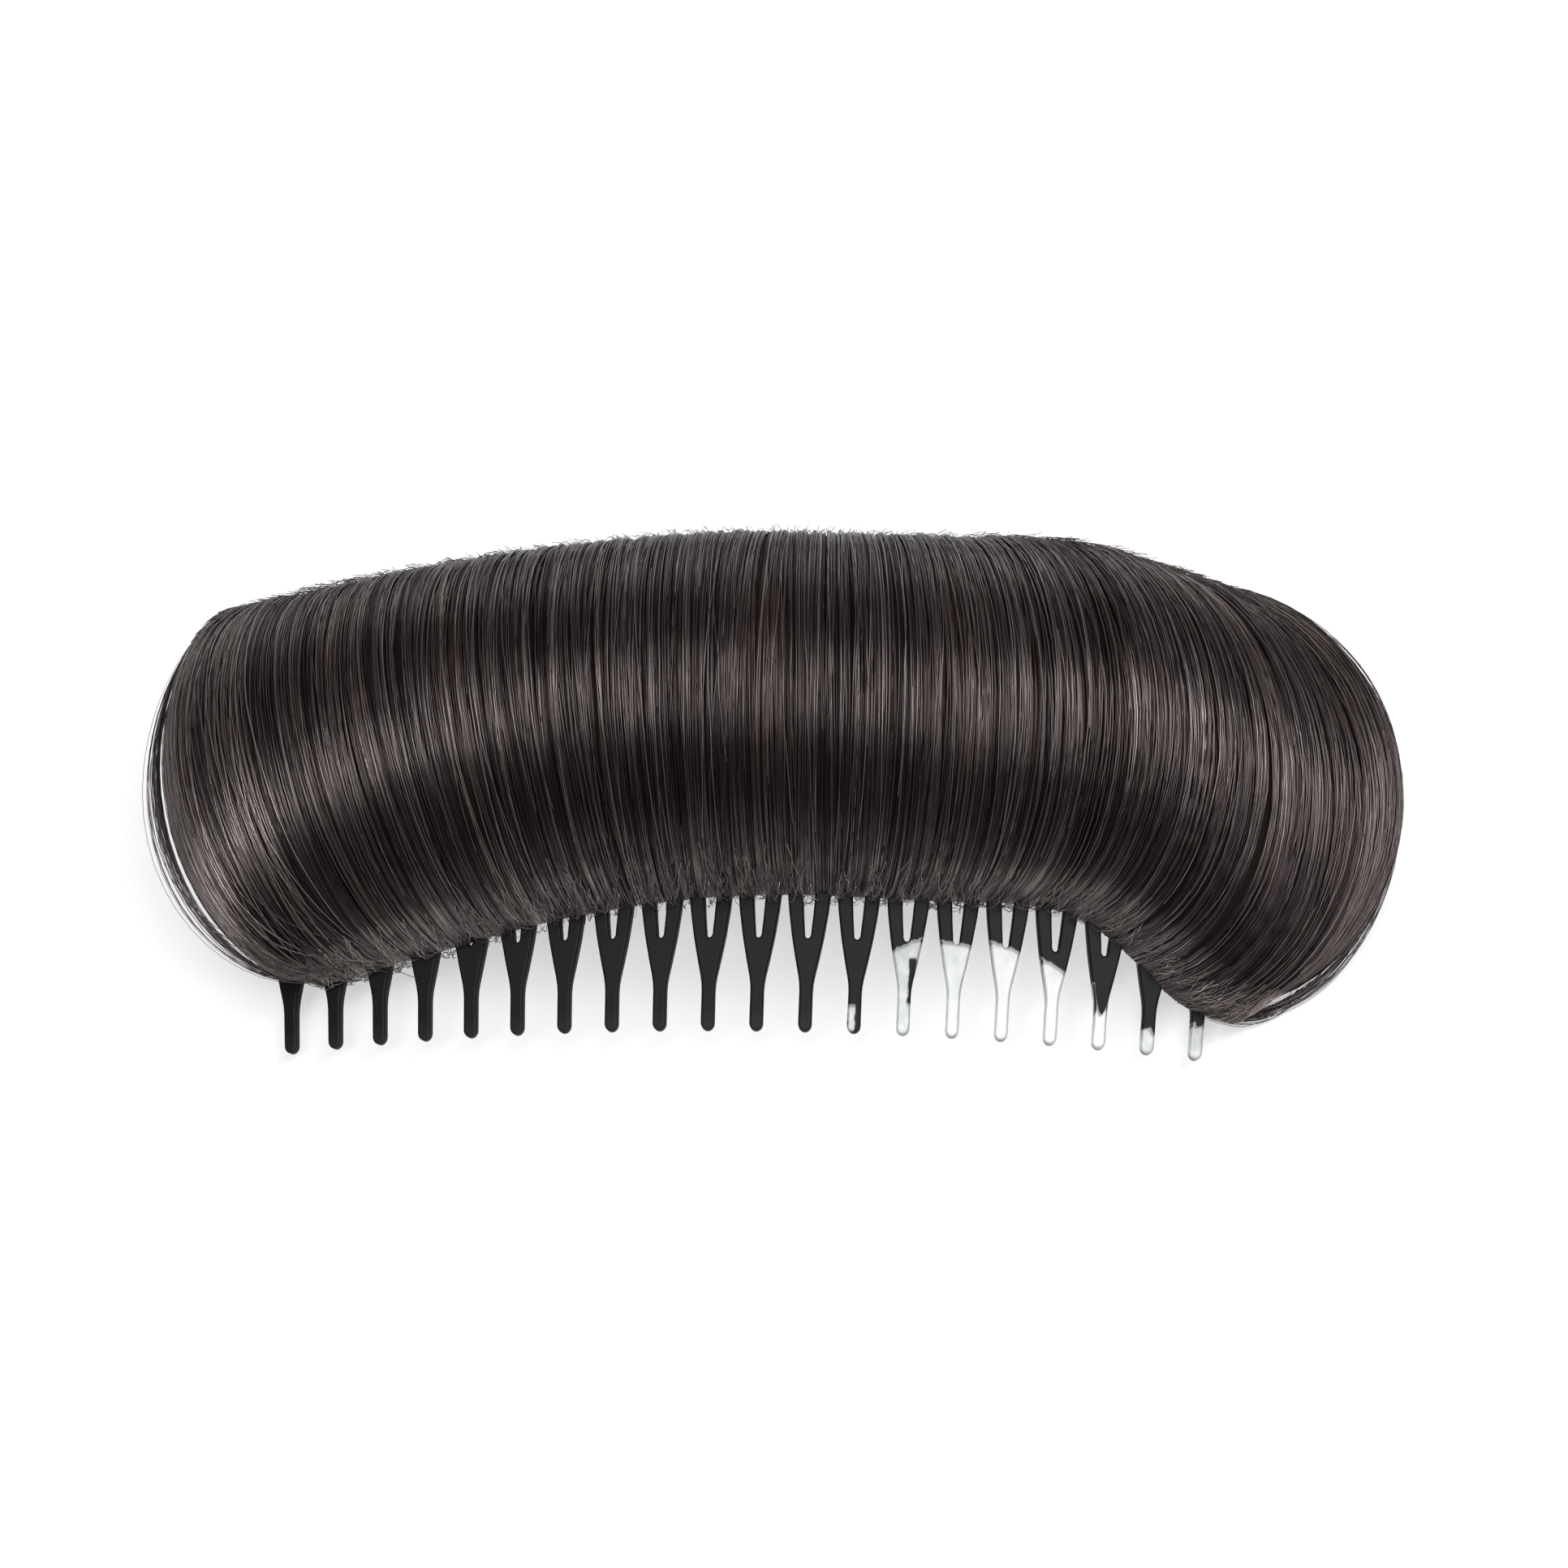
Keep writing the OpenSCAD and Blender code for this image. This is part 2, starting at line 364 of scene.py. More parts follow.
def addBump(tree, make, shader, height, bump):
    strength, distance = bump
    raised = make("ShaderNodeBump", {"Height": height, "Strength": strength, "Distance": distance})
    tree.links.new(raised.outputs["Normal"], shader.inputs["Normal"])


def colourRamp(make, factor, stops):
    ramp = make("ShaderNodeValToRGB", {"Fac": factor})
    elements = ramp.color_ramp.elements
    while len(elements) < len(stops):
        elements.new(0.5)
    for element, (place, colour) in zip(elements, stops):
        element.position = place
        element.color = (*colour, 1)
    return ramp.outputs["Color"]


def mixedColour(make, factor, a, b):
    return firstOut(make("ShaderNodeMix", {"Factor": factor, "A": a, "B": b}, data_type="RGBA"))


def strandMaterial():
    # Brown and greyer hair, light and dark by the tone that each strand was given
    material, tree, make, shader = newMaterial("hairStrands", hairLook["surface"])
    tone = make("ShaderNodeAttribute", attribute_name="tone").outputs["Fac"]
    tint = make("ShaderNodeAttribute", attribute_name="lockTint").outputs["Fac"]
    warm, cool = (colourRamp(make, tone, hairLook[name]) for name in ("warm", "cool"))
    tree.links.new(mixedColour(make, tint, warm, cool), shader.inputs["Base Color"])
    _, plus, _, times = sums(make)
    least, more = hairLook["shine"]
    shine = plus(times(tone, more), least)
    tree.links.new(shine, shader.inputs["Specular IOR Level"])
    return material


def woundHairMaterial():
    # The hair below the loose strands: fine streaks along it, from the surface's own map in millimetres
    material, tree, make, shader = newMaterial("woundHair", woundLook["surface"])
    _, plus, _, times = sums(make)
    _, noise, _ = fieldForms(make)
    place = make("ShaderNodeUVMap", uv_map="strandMap").outputs["UV"]
    fine = make("ShaderNodeMapping", {"Vector": place, "Scale": woundLook["fine"]}).outputs[0]
    broad = make("ShaderNodeMapping", {"Vector": place, "Scale": woundLook["broad"]}).outputs[0]
    streaks = times(plus(noise(fine, 1.0, 3.0), noise(broad, 1.0, 2.0)), 0.5)
    tree.links.new(colourRamp(make, streaks, woundLook["colours"]), shader.inputs["Base Color"])
    addBump(tree, make, shader, streaks, woundLook["bump"])
    return material


strandMat = strandMaterial()
woundMat = woundHairMaterial()


# The comb's numbers, used for the room that it takes in the roll as well

combForm = {
    "teeth": 20,
    "pitch": 5.86,
    # Widths of a tooth and of its slot: millimetres past the slot's end (towards the tip), then the width
    "toothWidths": ((-9.5, 5.45), (-5.4, 5.1), (-3.4, 4.7), (-0.4, 3.85), (0.6, 3.5), (2.6, 2.75),
                    (4.6, 1.93), (5.5, 1.67), (6.4, 1.57)),
    "slotWidths": ((-8.5, 1.9), (-5.4, 1.45), (-2.5, 1.08), (-0.9, 0.8)),
    "slotRound": 0.7,        # how long the round end of a slot is
    "tipLength": 11.2,
    "tipWidth": 1.6,
    "tipRound": 0.96,        # and that of a tip
    "barFrom": 8.5,
    "barWidth": 4.0,
    "thickness": 1.8,
    "tipThickness": 1.2,
    "edge": 0.28,
    "rimShare": 0.3,         # how far down its edge a tooth's painted grey rim is full, where it is clear: painted shade for the dark edges that refraction gives
    "gap": 0.3,
    # Where plastic is clear, for teeth counted from the left: from how far past the slot's end, how
    # ragged that line is and how it bows and leans, a streak of the other plastic, how cloudy it is
    "clearColumns": ("clearFrom", "patchy", "bow", "lean", "streakFrom", "streakTo", "streakAcross",
                     "streakHalf", "cloudiness"),
    "clear": {13: (14.0, 0.6, 0.0, 0.0, 7.9, 11.0, -0.3, 0.45, 0.8),
              14: (0.4, 0.6, 0.0, -0.55, 1.9, 7.6, 0.8, 0.5, 1.0),
              15: (-0.1, 0.4, 0.0, 0.1, 0.0, 0.0, 0.0, -1.0, 0.6),
              16: (-0.1, 0.4, 0.0, 0.3, 0.0, 0.0, 0.0, -1.0, 0.4),
              17: (1.6, 0.4, 0.2, 0.5, 0.0, 0.0, 0.0, -1.0, 0.4),
              18: (7.0, 0.5, -3.4, 0.4, 0.0, 0.0, 0.0, -1.0, 0.3),
              19: (8.4, 1.0, 0.2, 0.0, 0.0, 0.0, 0.0, -1.0, 0.5),
              20: (7.0, 1.8, 0.0, 0.0, 8.6, 9.0, -0.3, 0.1, 1.0)},
    "allBlack": (40.0, 0.0, 0.0, 0.0, 0.0, 0.0, 0.0, -1.0, 0.0),
}


def archPlace(angle, forward, height):
    # A point of the comb's plate: turned round its arch, so far towards the tips, so high over the plate
    slope = math.radians(rollForm["toothSlope"])
    radius = rollForm["archRadius"] - forward * math.sin(slope) + height * math.cos(slope)
    return ((radius * math.sin(angle) - rollForm["middle"][0]) * mm,
            (-rollForm["slotEndForward"] - forward * math.cos(slope) - height * math.sin(slope)
             - rollForm["middle"][1]) * mm,
            (radius * math.cos(angle) - rollForm["archRadius"] + rollForm["slotEndHeight"]) * mm)


def archedStrip(name, start, end, thickness, spare=0.0, steps=60):
    # A strip of the comb's plate, from start to end along the teeth, as wide as the comb and spare past
    # each end
    radius = rollForm["archRadius"]
    half = combForm["teeth"] * combForm["pitch"] / 2 / radius + spare / radius
    flat = thickness / 2
    corners = ((start, -flat), (end, -flat), (end, flat), (start, flat))
    builder = bmesh.new()
    rings = [[builder.verts.new(archPlace(angle, forward, height)) for forward, height in corners]
             for angle in np.linspace(-half, half, steps + 1)]
    for ring, following in zip(rings, rings[1:]):
        for i in range(4):
            builder.faces.new((ring[i], ring[(i + 1) % 4], following[(i + 1) % 4], following[i]))
    builder.faces.new(rings[0])
    builder.faces.new(reversed(rings[-1]))
    mesh = bpy.data.meshes.new(name)
    closeMesh(builder, mesh)
    return mesh


# The wound hair's body, under the strands

woundBody = {
    "along": 160,            # faces along the roll, round an end and along a strand
    "ends": 30,
    "steps": 48,
    "inset": 0.35,
    "wall": 3.0,
    "pastFront": 30.0,       # how far past the teeth's tips the comb's room is cut
    "mapScale": 0.35,        # millimetres on the strands' map for a degree along a strand
}


def rollMesh(name, form, inset):
    # A closed mesh of the roll's form. Its map has the way round the roll and the way along the strands.
    along, ends, steps = form["along"], form["ends"], form["steps"]
    s = np.concatenate([np.arange(along) / along, 1 + np.arange(ends) / ends,
                        2 + np.arange(along) / along, 3 + np.arange(ends) / ends])
    q = np.linspace(0, 180, steps + 1)
    points = lockPoints(s, q, inset)
    points[..., 2] = np.maximum(points[..., 2], inset)
    count = len(s)
    mesh = bpy.data.meshes.new(name)
    builder = bmesh.new()
    layer = builder.loops.layers.uv.new("strandMap")
    rows = [[builder.verts.new(p * mm) for p in row] for row in points]
    run = np.concatenate([[0], np.cumsum(np.linalg.norm(
        np.diff(np.concatenate([points[:, steps // 2], points[:1, steps // 2]]), axis=0), axis=1))])
    for i in range(count):
        following = (i + 1) % count
        for j in range(steps):
            ring = (rows[i][j], rows[following][j], rows[following][j + 1], rows[i][j + 1])
            face = builder.faces.new(ring)
            face.smooth = True
            corners = ((run[i], q[j]), (run[i + 1], q[j]), (run[i + 1], q[j + 1]), (run[i], q[j + 1]))
            for loop, (u, v) in zip(face.loops, corners):
                loop[layer].uv = (u, v * woundBody["mapScale"])
    bmesh.ops.remove_doubles(builder, verts=builder.verts, dist=1e-6)
    closeMesh(builder, mesh)
    return mesh


def carve(piece, cutters):
    # Takes the cutters' room out of a piece
    for mesh in cutters:
        cutter = linkedPiece(mesh.name, mesh)
        modifier = piece.modifiers.new("carve", "BOOLEAN")
        modifier.operation = "DIFFERENCE"
        modifier.solver = "EXACT"
        modifier.object = cutter
        applyModifier(piece, modifier)
        bpy.data.objects.remove(cutter)
        bpy.data.meshes.remove(mesh)


def combRoom():
    form = combForm
    start = -form["barFrom"] - form["barWidth"] - form["gap"]
    end = form["tipLength"] + woundBody["pastFront"]
    return archedStrip("combRoom", start, end, form["thickness"] + 2 * form["gap"], form["gap"])


def makeWoundBody():
    form = woundBody
    mesh = rollMesh("hair_body", form, form["inset"])
    mesh.materials.append(woundMat)
    piece = linkedPiece("hair_body", mesh)
    hollow = rollMesh("hollow", padForm, form["wall"])
    carve(piece, (hollow, combRoom()))
    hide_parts("hair_wrap")
    finishPiece(piece)


# The soft pad inside

padForm = {"along": 60, "ends": 12, "steps": 24, "inset": 3.3}
padLook = {
    "fibreScale": 900.0,
    "colours": ((0.3, (0.008, 0.007, 0.007)), (0.7, (0.03, 0.026, 0.026))),
    "bump": (0.6, 0.0004),   # strength, metres
    "surface": {"Roughness": 0.95},
}


def makePad():
    material, tree, make, shader = newMaterial("padFibre", padLook["surface"])
    _, noise, _ = fieldForms(make)
    fibres = noise(make("ShaderNodeTexCoord").outputs["Object"], padLook["fibreScale"], 4.0)
    tree.links.new(colourRamp(make, fibres, padLook["colours"]), shader.inputs["Base Color"])
    addBump(tree, make, shader, fibres, padLook["bump"])
    mesh = rollMesh("pad", padForm, padForm["inset"])
    mesh.materials.append(material)
    piece = linkedPiece("pad", mesh)
    carve(piece, (combRoom(),))
    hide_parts("pad_core")
    finishPiece(piece)


makeWoundBody()
print("wound hair body made")
makePad()
print("pad made")


# Strands: a few per lock, grown by geometry nodes along guide paths that lie on the roll's surface

# What all strands have in common
strandShape = {
    "thickness": (0.6, 1.4),         # the thinnest and the thickest, against the piece's strand radius
    "swing": 4.0,                    # sideways, against the piece's wander
    "bob": 1.2,                      # up and down, against the piece's lift
    "seamLift": 0.15,                # how much of its lift a strand keeps at the seams
    "deepShare": 1.5,                # over 1, more strands lie deep than high
    "deepTone": 0.4,                 # painted shade: how light the deepest are, against the topmost
    "darkShare": 1.6,                # over 1, more strands are dark than light
    "toneWaves": 9.0,                # how often a strand grows lighter and darker along its length
    "glints": (0.2, 1.6),            # how light it is at the least, and what those waves add, partly its own changing tone and partly painted glints
    "lower": (0.55, 0.75),           # along a strand, where its painted shade towards the comb comes in
    "frayed": (0.87, 0.98),          # and where its painted highlight at the front end does
    "noiseReach": 400.0,             # how far apart in the noise strands may be
}


def growStrandsTree():
    tree = newGeometryTree("growStrands", {
        "Strands per lock": 8,
        "Spread": 0.0005,
        "Lift": 0.0005,
        "Wander": 0.0004,
        "Wander waves": 2.0,
        "Strand radius": 0.00008,
        "Lowest": 0.0001,
        "Own tone": 0.5,
        "Tone waves": strandShape["toneWaves"],
        "Lower tone": 1.0,
        "End tone": 0.0,
        "Seed": 1,
        "Material": None,
    })
    shape = strandShape
    make = nodeMaker(tree)
    number, plus, minus, times = sums(make)
    point, noise, smooth = fieldForms(make)
    given = make("NodeGroupInput").outputs

    def scaled(vector, factor):
        return make("ShaderNodeVectorMath", {0: vector, "Scale": factor}, operation="SCALE").outputs[0]

    def ofStrand(low, high, shift):
        seed = plus(given["Seed"], float(shift))
        value = make("FunctionNodeRandomValue", {"Min": low, "Max": high, "Seed": seed},
                     data_type="FLOAT")
        return make("GeometryNodeFieldOnDomain", {"Value": firstOut(value)}, domain="CURVE",
                    data_type="FLOAT").outputs[0]

    def ofGuide(name, kind):
        return firstOut(make("GeometryNodeInputNamedAttribute", {"Name": name}, data_type=kind))

    def alongNoise(waves, shift, output):
        # Noise that changes so often along a strand, each strand reading it at a place of its own
        reach = shape["noiseReach"]
        place = point(times(along, waves), ofStrand(0.0, reach, shift), ofStrand(0.0, reach, shift + 1))
        return noise(place, 1.0, 1.0, output)

    curves = make("GeometryNodeMeshToCurve", {"Mesh": given["Geometry"]}).outputs[0]
    copies = make("GeometryNodeDuplicateElements",
                  {"Geometry": curves, "Amount": given["Strands per lock"]},
                  domain="SPLINE").outputs["Geometry"]
    along = make("GeometryNodeSplineParameter").outputs["Factor"]
    hump = number("SINE", times(along, math.pi))       # 0 at both seams, 1 between them

    # Where each strand lies: beside its lock's path, over it, and swinging
    parts = make("FunctionNodeSeparateColor", {0: alongNoise(given["Wander waves"], 1, "Color")}).outputs
    drift = times(minus(parts[0], 0.5), given["Wander"])
    swing = times(times(drift, hump), shape["swing"])
    across = plus(times(ofStrand(-1.0, 1.0, 3), given["Spread"]), swing)
    layer = number("POWER", ofStrand(0.0, 1.0, 4), shape["deepShare"])     # 0 deepest, 1 topmost
    height = times(layer, given["Lift"])
    bob = times(minus(parts[1], 0.5), given["Lift"])
    raised = plus(height, times(bob, shape["bob"]))
    kept = plus(times(hump, 1 - shape["seamLift"]), shape["seamLift"])
    sideways = scaled(ofGuide("across", "FLOAT_VECTOR"), across)
    upward = scaled(ofGuide("outward", "FLOAT_VECTOR"), times(raised, kept))
    offset = make("ShaderNodeVectorMath", {0: sideways, 1: upward}, operation="ADD").outputs[0]
    moved = make("GeometryNodeSetPosition", {"Geometry": copies, "Offset": offset}).outputs[0]
    spot = make("ShaderNodeSeparateXYZ", {0: make("GeometryNodeInputPosition").outputs[0]}).outputs
    flat = point(spot[0], spot[1], number("MAXIMUM", spot[2], given["Lowest"]))
    moved = make("GeometryNodeSetPosition", {"Geometry": moved, "Position": flat}).outputs[0]

    # How light it is: its own and its lock's tone, times painted shade on deep strands and towards the
    # comb, tone and painted glints along it, a painted highlight at the front end, and painted light and
    # shade by place
    mostlyDark = number("POWER", ofStrand(0.0, 1.0, 5), shape["darkShare"])
    own = times(mostlyDark, given["Own tone"])
    shared = times(ofGuide("lockTone", "FLOAT"), minus(1.0, given["Own tone"]))
    depth = plus(times(layer, 1 - shape["deepTone"]), shape["deepTone"])
    # Lighter and darker along a strand: partly its own changing tone, partly painted glints
    least, more = shape["glints"]
    glints = plus(times(alongNoise(given["Tone waves"], 7, "Fac"), more), least)
    depth = times(depth, glints)
    # Painted shade, darker past the middle of a strand towards the comb
    lower = smooth(along, *shape["lower"], 1.0, given["Lower tone"])
    # Painted highlight: strands grow lighter at their front end
    frayed = smooth(along, *shape["frayed"], 0.0, given["End tone"])
    depth = times(depth, plus(lower, frayed))
    tone = times(plus(own, shared), depth)
    # Painted light and shade by place round the roll
    tone = times(tone, ofGuide("lockShade", "FLOAT"))
    toned = make("GeometryNodeStoreNamedAttribute", {"Geometry": moved, "Name": "tone", "Value": tone},
                 domain="POINT", data_type="FLOAT").outputs[0]

    profile = make("GeometryNodeCurvePrimitiveCircle", {"Resolution": 3, "Radius": 1.0}).outputs["Curve"]
    thickness = times(given["Strand radius"], ofStrand(*shape["thickness"], 6))
    tubes = make("GeometryNodeCurveToMesh", {"Curve": toned, "Profile Curve": profile, "Scale": thickness,
                                             "Fill Caps": True}).outputs[0]
    whole = make("GeometryNodeRealizeInstances", {"Geometry": tubes}).outputs[0]
    rounded = make("GeometryNodeSetShadeSmooth", {"Geometry": whole}).outputs[0]
    dressed = make("GeometryNodeSetMaterial", {"Geometry": rounded,
                                               "Material": given["Material"]}).outputs[0]
    make("NodeGroupOutput", {"Geometry": dressed})
    return tree


growStrands = growStrandsTree()


def pathMesh(name, paths, fields):
    # Every path is a run of vertices joined by edges, with the fields as attributes of its points
    count, length = paths.shape[:2]
    mesh = bpy.data.meshes.new(name)
    index = np.arange(count * length).reshape(count, length)
    edges = np.stack([index[:, :-1], index[:, 1:]], -1).reshape(-1, 2)
    mesh.from_pydata((paths.reshape(-1, 3) * mm).tolist(), edges.tolist(), [])
    for field, values in fields.items():
        setField(mesh, field, values)
    return mesh


def growPiece(name, paths, fields, settings, seed):
    piece = linkedPiece(name, pathMesh(name, paths, fields))
    runGeometryTree(piece, growStrands, {
        "Strands per lock": settings["perLock"],
        "Spread": settings["spread"] * mm,
        "Lift": settings["lift"] * mm,
        "Wander": settings["wander"] * mm,
        "Wander waves": settings["waves"],
        "Strand radius": settings["radius"] * mm,
        "Lowest": settings["radius"] * strandShape["thickness"][1] * mm,
        "Own tone": settings["ownTone"],
        "Tone waves": strandShape["toneWaves"],
        "Lower tone": settings["lowerTone"],
        "End tone": settings["endTone"],
        "Seed": seed,
        "Material": strandMat,
    })
    finishPiece(piece)


# The coat of strands over the top, the ends and below: lengths in millimetres, places on the round
strandCoat = {
    "spacing": 0.41,
    "segments": 22,
    "pastBack": (15.0, 75.0),  # degrees below the back seam where the locks over the middle start
    "perLock": 9,
    "spread": 0.42,
    "lift": 0.5,
    "wander": 0.22,
    "waves": 2.5,
    "radius": 0.085,
    "ownTone": 0.72,
    "lowerTone": 0.64,       # painted shade: how light a strand is past its middle, towards the comb
    "endTone": 3.2,          # and how much lighter at its front end, a painted highlight
    "locksPerClump": 4,
    "clumpLift": 0.1,
    "clumpWander": 0.175,
    "clumpSlant": 0.5,
    "lockLift": 0.3,
    "lockWander": 0.22,
    "swayWaves": (1.3, 3.1, 0.5),    # a slow wave, a quick one, and how strong that is against it
    "crownLeast": 0.4,       # how high the lowest clump's middle stands, against the highest
    "seamShares": (0.3, 0.2),        # how much of their shift and of their lift locks keep at the seams
    "darkShare": 1.8,        # over 1, more locks are dark than light
    "toneParts": (0.9, 0.05, 0.06),  # how much of the tone is a lock's own, its clump's and its group's
    # place on the round, then how light the hair is there: painted light and shade, lighter on the right
    # of the top and darker at both ends and below
    "shade": ((-0.62, 0.75), (-0.1, 0.88), (0.15, 0.97), (0.5, 1.0), (0.8, 1.15), (0.93, 1.0),
              (1.05, 0.65), (1.4, 0.6), (2.0, 0.75), (3.38, 0.8)),
    # place on the round, then how much of that is left at the front, and the degrees where that comes in:
    # painted shade, darkest towards the comb at the right end
    "footShade": ((-0.2, 1.05), (0.5, 0.95), (0.75, 0.8), (0.9, 0.5), (1.2, 0.45), (2.0, 1.0)),
    "footFrom": (80, 150),
    "edgeTint": 0.7,         # painted sheen: how much greyer hair is at the front end and by the back seam, and where
    "frontEdge": (158, 170),
    "backEdge": (45, 15),
    "groupOf": 14,           # locks that share a broad change of tone
    "pieces": {"strands_left": (-0.62, 0.272), "strands_mid_left": (0.268, 0.502),
               "strands_mid_right": (0.498, 0.742), "strands_right": (0.738, 1.62),
               "strands_below": (1.62, 3.38)},
    # Below, the strands lie flatter and more evenly
    "below": {"spacing": 2.0, "segments": 18, "pastBack": (0.0, 0.0), "perLock": 12, "spread": 1.1,
              "lift": 0.45, "clumpLift": 0.0, "lockLift": 0.0, "radius": 0.1, "ownTone": 0.7},
}


def eased(values, low, high):
    # 0 before low, 1 past high and even between them, whichever of the two is larger
    return np.clip((values - low) / (high - low), 0, 1)


def coatGuides(form, start, end, seed):
    # Locks stand in small clumps, each a little crowned and swaying and slanting by itself
    chance = np.random.default_rng(seed)
    s = evenPlaces(start, end, form["spacing"])
    t = np.linspace(0, 1, form["segments"] + 1)[None]
    w, _ = roundPlace(s)
    pastBack = (chance.uniform(*form["pastBack"], len(s)) * (1 - w**2) ** 2)[:, None]
    q = (180 + pastBack) * t - pastBack
    points, across, outward = lockFrames(s, q)
    for _ in range(2):                      # rounds the turn over the back seam
        points[:, 1:-1] = (points[:, :-2] + 2 * points[:, 1:-1] + points[:, 2:]) / 4
    count = len(s)
    clump = np.cumsum(chance.random(count) < 1 / form["locksPerClump"])
    clumps = clump[-1] + 1
    size = np.bincount(clump, minlength=clumps)[clump]
    inClump = (np.arange(count) - np.searchsorted(clump, clump) + 0.5) / size
    crown = 1 - (2 * inClump - 1) ** 2
    along = math.pi * t
    hump = np.sin(along)

    def sway(amount, phase):
        slow, quick, share = form["swayWaves"]
        waves = np.sin(along * slow + phase[:, :1]) + share * np.sin(along * quick + phase[:, 1:])
        return amount * waves

    clumpPhase = chance.random((clumps, 2)) * 2 * math.pi
    slant = chance.uniform(-1, 1, clumps)[clump][:, None] * form["clumpSlant"] * (2 * t - 1)
    ofShift, ofLift = form["seamShares"]
    least = form["crownLeast"]
    shift = (sway(form["clumpWander"], clumpPhase)[clump]
             + sway(form["lockWander"], chance.random((count, 2)) * 2 * math.pi) + slant)
    shift = shift * (ofShift + (1 - ofShift) * hump)
    lift = (crown * (least + (1 - least) * chance.random(clumps)[clump]) * form["clumpLift"]
            + chance.random(count) * form["lockLift"])[:, None] * (ofLift + (1 - ofLift) * hump)
    points = points + across * shift[..., None] + outward * lift[..., None]
    groups = np.interp(np.arange(count) / form["groupOf"], np.arange(count // form["groupOf"] + 2),
                       chance.random(count // form["groupOf"] + 2))
    ofLock, ofClump, ofGroup = form["toneParts"]
    tone = (ofLock * chance.random(count) ** form["darkShare"] + ofClump * chance.random(clumps)[clump]
            + ofGroup * groups)
    tint = 0.5 * chance.random(clumps)[clump] + 0.5 * chance.random(count)
    shade, foot = (np.interp(s, *np.array(form[name]).T)[:, None] for name in ("shade", "footShade"))
    shade = shade * (1 + (foot - 1) * eased(q, *form["footFrom"]))
    # Painted sheen: hair turns greyer by the front end and by the back seam
    edge = eased(q, *form["frontEdge"]) + eased(q, *form["backEdge"])
    level = np.ones_like(q)
    return points, {"across": across, "outward": outward, "lockTone": tone[:, None] * level,
                    "lockTint": np.minimum(tint[:, None] + form["edgeTint"] * edge, 1),
                    "lockShade": shade}


def makeCoat():
    for number, (name, (start, end)) in enumerate(strandCoat["pieces"].items()):
        form = {**strandCoat, **(strandCoat["below"] if name == "strands_below" else {})}
        paths, fields = coatGuides(form, start, end, 11 + number)
        growPiece(name, paths, fields, form, 101 + 20 * number)


makeCoat()
print("strands grown")


